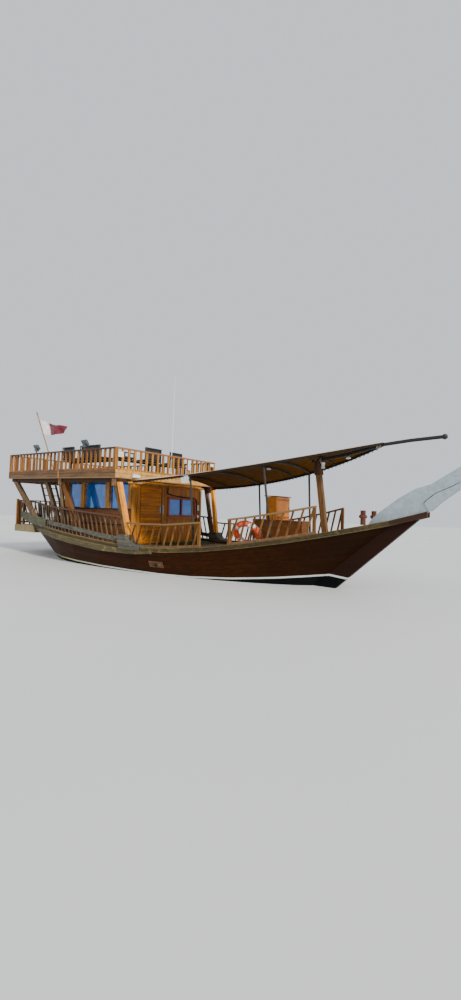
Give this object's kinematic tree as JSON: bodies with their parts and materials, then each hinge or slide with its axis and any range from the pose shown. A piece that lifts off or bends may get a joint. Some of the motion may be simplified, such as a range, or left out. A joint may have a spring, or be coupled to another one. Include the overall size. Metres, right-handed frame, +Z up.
{
  "type": "motor dhow",
  "caption": "Wooden motor dhow with a wheelhouse, an upper deck on pillars, a stern gallery, balustrade rails and a long awning on hoops and a spar.",
  "frame": {"origin": "on the centreline at the waterline, amidships", "axes": "+X towards the bow, +Y to port, +Z up"},
  "size_m": [16.8889, 4.425, 7.3575],
  "materials": {
    "white_paint": "white",
    "awning_cloth": "dark brown canvas",
    "black_tube": "black paint",
    "grey_steel": "dark grey paint",
    "bench_pad": "black cushions",
    "stem_varnish": "dark reddish varnish",
    "house_varnish": "orange-brown varnish",
    "cap_paint": "weathered olive paint",
    "engine_paint": "green engine paint",
    "flag_cloth": "white and maroon cloth",
    "pillar_wood": "weathered orange-brown wood",
    "lamp_grey": "grey housing",
    "rail_weathered": "grey-brown weathered wood",
    "window_glass": "bluish tint",
    "platform_ochre": "ochre-grey planks",
    "rail_varnish": "golden varnish",
    "hull_varnish": "gloss dark varnish",
    "lifebuoy": "orange with white bands",
    "locker_paint": "orange varnish",
    "wale_paint": "weathered olive paint",
    "deck_planks": "worn planks",
    "bronze": "cast bronze",
    "knee_weathered": "grey cracked wood",
    "grey_paint": "light grey-blue paint",
    "upper_boards": "weathered two-tone boards"
  },
  "bodies": {
    "boat": {"antenna": "white_paint", "awning": "awning_cloth", "awning_bow_aft": "black_tube", "awning_bow_fore": "black_tube", "awning_edge_port": "black_tube", "awning_edge_stbd": "black_tube", "awning_hoop_aft": "grey_steel", "awning_hoop_fore": "grey_steel", "bench_front": "bench_pad", "bench_side": "bench_pad", "bitt_port": "stem_varnish", "bitt_stbd": "stem_varnish", "cabin_aft": "house_varnish", "cabin_front": "house_varnish", "cabin_side_port": "house_varnish", "cabin_side_stbd": "house_varnish", "cap_board_port": "cap_paint", "cap_board_stbd": "cap_paint", "engine": "engine_paint", "flag": "flag_cloth", "flagstaff": "pillar_wood", "floodlight_aft": "lamp_grey", "floodlight_fore": "lamp_grey", "fore_rail_port": "rail_weathered", "fore_rail_stbd": "rail_weathered", "front_glass": "window_glass", "gallery_platform": "platform_ochre", "gallery_rail": "rail_varnish", "hull": "hull_varnish", "keel_and_posts": "stem_varnish", "lifebuoy": "lifebuoy", "locker": "locker_paint", "lower_wale_port": "wale_paint", "lower_wale_stbd": "wale_paint", "main_deck": "deck_planks", "mast": "pillar_wood", "pillars_port": "pillar_wood", "pillars_stbd": "pillar_wood", "quarter_knee_port": "knee_weathered", "quarter_knee_stbd": "knee_weathered", "side_glass_port": "window_glass", "side_glass_stbd": "window_glass", "side_rail_port": "rail_weathered", "side_rail_stbd": "rail_weathered", "spar": "black_tube", "stem_head": "grey_paint", "stern_ladder": "rail_weathered", "upper_deck": "upper_boards", "upper_rail_aft": "rail_varnish", "upper_rail_front": "rail_varnish", "upper_rail_port": "rail_varnish", "upper_rail_stbd": "rail_varnish", "visor": "pillar_wood", "waist_rail_port": "rail_weathered", "waist_rail_stbd": "rail_weathered"},
    "rudder": {"rudder": "stem_varnish"},
    "propeller": {"propeller": "bronze"},
    "helm_wheel": {"helm_wheel": "house_varnish"},
    "cabin_door": {"cabin_door": "house_varnish"},
    "locker_door": {"locker_door": "locker_paint"}
  },
  "joints": [
    {"name": "rudder_hinge", "type": "hinge", "parent": "boat", "child": "rudder", "pos_m": [-7.281, 0, -0.15], "axis": [0, 0, 1], "range_deg": [-35, 35]},
    {"name": "propeller_spin", "type": "hinge", "parent": "boat", "child": "propeller", "pos_m": [-6.9, 0, -0.5], "axis": [1, 0, 0], "continuous": true},
    {"name": "helm_turn", "type": "hinge", "parent": "boat", "child": "helm_wheel", "pos_m": [-1.64, 0.7, 1.29], "axis": [1, 0, 0], "range_deg": [-540, 540]},
    {"name": "cabin_door_hinge", "type": "hinge", "parent": "boat", "child": "cabin_door", "pos_m": [-1.305, -1.215, 1.6], "axis": [0, 0, -1], "range_deg": [0, 110]},
    {"name": "locker_door_hinge", "type": "hinge", "parent": "boat", "child": "locker_door", "pos_m": [2.474, 0.605, 1.9], "axis": [0, 0, -1], "range_deg": [0, 110]}
  ],
  "couplings": [
    {"joint": "helm_turn", "follows": "rudder_hinge", "ratio": 15.4}
  ]
}
